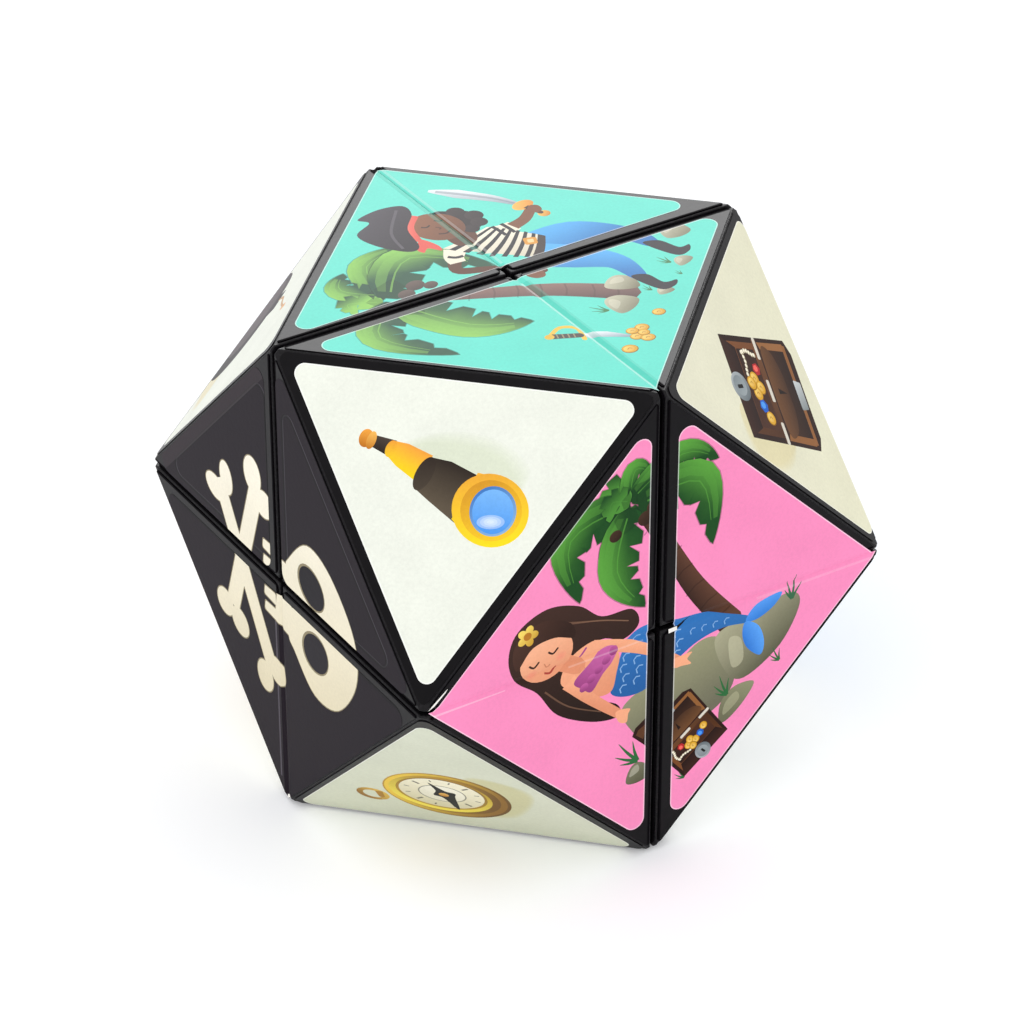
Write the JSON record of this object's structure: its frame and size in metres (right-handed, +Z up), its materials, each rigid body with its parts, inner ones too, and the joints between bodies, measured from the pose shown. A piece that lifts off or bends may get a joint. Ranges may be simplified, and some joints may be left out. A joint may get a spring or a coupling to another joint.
{
  "type": "folding magnetic cube puzzle",
  "caption": "Ring of corner-cut cubes on printed film hinges; magnets hold it as a cuboctahedron with printed square and triangular faces, or folded into a cube.",
  "frame": {"origin": "middle of the lower square side, which it stands on", "axes": "+Z up, -Y the front square side with the tree scene's lower half, +X to its right"},
  "size_m": [0.06, 0.06, 0.06],
  "materials": {
    "black_plastic": "fine-textured black ABS",
    "printed_film": "printed film with a satin laminate",
    "hinge_film": "thin printed polypropylene film",
    "magnet_steel": "nickel-plated neodymium"
  },
  "bodies": {
    "top_front_left": {"top_front_left_inner_shell": "black_plastic", "top_front_left_outer_shell": "black_plastic", "top_front_left_magnets": "magnet_steel", "top_front_left_square_labels": "printed_film", "top_front_left_quarter_labels": "printed_film", "top_front_left_corner_label": "printed_film", "top_front_hinge_film": "hinge_film", "front_left_hinge_film": "hinge_film"},
    "top_front_right": {"top_front_right_inner_shell": "black_plastic", "top_front_right_outer_shell": "black_plastic", "top_front_right_magnets": "magnet_steel", "top_front_right_square_labels": "printed_film", "top_front_right_quarter_labels": "printed_film", "top_front_right_corner_label": "printed_film", "front_right_hinge_film": "hinge_film"},
    "bottom_front_right": {"bottom_front_right_inner_shell": "black_plastic", "bottom_front_right_outer_shell": "black_plastic", "bottom_front_right_magnets": "magnet_steel", "bottom_front_right_square_labels": "printed_film", "bottom_front_right_quarter_labels": "printed_film", "bottom_front_right_corner_label": "printed_film", "right_bottom_hinge_film": "hinge_film"},
    "bottom_front_left": {"bottom_front_left_inner_shell": "black_plastic", "bottom_front_left_outer_shell": "black_plastic", "bottom_front_left_magnets": "magnet_steel", "bottom_front_left_square_labels": "printed_film", "bottom_front_left_quarter_labels": "printed_film", "bottom_front_left_corner_label": "printed_film", "left_bottom_hinge_film": "hinge_film"},
    "bottom_back_left": {"bottom_back_left_inner_shell": "black_plastic", "bottom_back_left_outer_shell": "black_plastic", "bottom_back_left_magnets": "magnet_steel", "bottom_back_left_square_labels": "printed_film", "bottom_back_left_quarter_labels": "printed_film", "bottom_back_left_corner_label": "printed_film", "back_left_hinge_film": "hinge_film"},
    "bottom_back_right": {"bottom_back_right_inner_shell": "black_plastic", "bottom_back_right_outer_shell": "black_plastic", "bottom_back_right_magnets": "magnet_steel", "bottom_back_right_square_labels": "printed_film", "bottom_back_right_quarter_labels": "printed_film", "bottom_back_right_corner_label": "printed_film", "back_right_hinge_film": "hinge_film"},
    "top_back_right": {"top_back_right_inner_shell": "black_plastic", "top_back_right_outer_shell": "black_plastic", "top_back_right_magnets": "magnet_steel", "top_back_right_square_labels": "printed_film", "top_back_right_quarter_labels": "printed_film", "top_back_right_corner_label": "printed_film", "top_back_hinge_film_right": "hinge_film"},
    "top_back_left": {"top_back_left_inner_shell": "black_plastic", "top_back_left_outer_shell": "black_plastic", "top_back_left_magnets": "magnet_steel", "top_back_left_square_labels": "printed_film", "top_back_left_quarter_labels": "printed_film", "top_back_left_corner_label": "printed_film", "top_back_hinge_film_left": "hinge_film"}
  },
  "joints": [
    {"name": "top_front_hinge", "type": "hinge", "parent": "top_front_left", "child": "top_front_right", "pos_m": [0, -0.015, 0.06015], "axis": [0, -1, 0], "range_deg": [0, 180], "deforming": ["top_front_hinge_film"]},
    {"name": "front_left_hinge", "type": "hinge", "parent": "top_front_left", "child": "bottom_front_left", "pos_m": [-0.015, -0.03015, 0.03], "axis": [-1, 0, 0], "range_deg": [0, 180], "deforming": ["front_left_hinge_film"]},
    {"name": "front_right_hinge", "type": "hinge", "parent": "top_front_right", "child": "bottom_front_right", "pos_m": [0.015, -0.03015, 0.03], "axis": [-1, 0, 0], "range_deg": [0, 180], "deforming": ["front_right_hinge_film"]},
    {"name": "left_bottom_hinge", "type": "hinge", "parent": "bottom_front_left", "child": "bottom_back_left", "pos_m": [-0.03015, 0, 0.015], "axis": [0, 0, 1], "range_deg": [0, 180], "deforming": ["left_bottom_hinge_film"]},
    {"name": "right_bottom_hinge", "type": "hinge", "parent": "bottom_front_right", "child": "bottom_back_right", "pos_m": [0.03015, 0, 0.015], "axis": [0, 0, -1], "range_deg": [0, 180], "deforming": ["right_bottom_hinge_film"]},
    {"name": "back_left_hinge", "type": "hinge", "parent": "bottom_back_left", "child": "top_back_left", "pos_m": [-0.015, 0.03015, 0.03], "axis": [-1, 0, 0], "range_deg": [0, 180], "deforming": ["back_left_hinge_film"]},
    {"name": "back_right_hinge", "type": "hinge", "parent": "bottom_back_right", "child": "top_back_right", "pos_m": [0.015, 0.03015, 0.03], "axis": [-1, 0, 0], "range_deg": [0, 180], "deforming": ["back_right_hinge_film"]}
  ],
  "couplings": [
    {"joint": "back_left_hinge", "follows": "front_left_hinge", "ratio": 1},
    {"joint": "back_right_hinge", "follows": "front_right_hinge", "ratio": 1},
    {"joint": "right_bottom_hinge", "follows": "left_bottom_hinge", "ratio": 1}
  ]
}
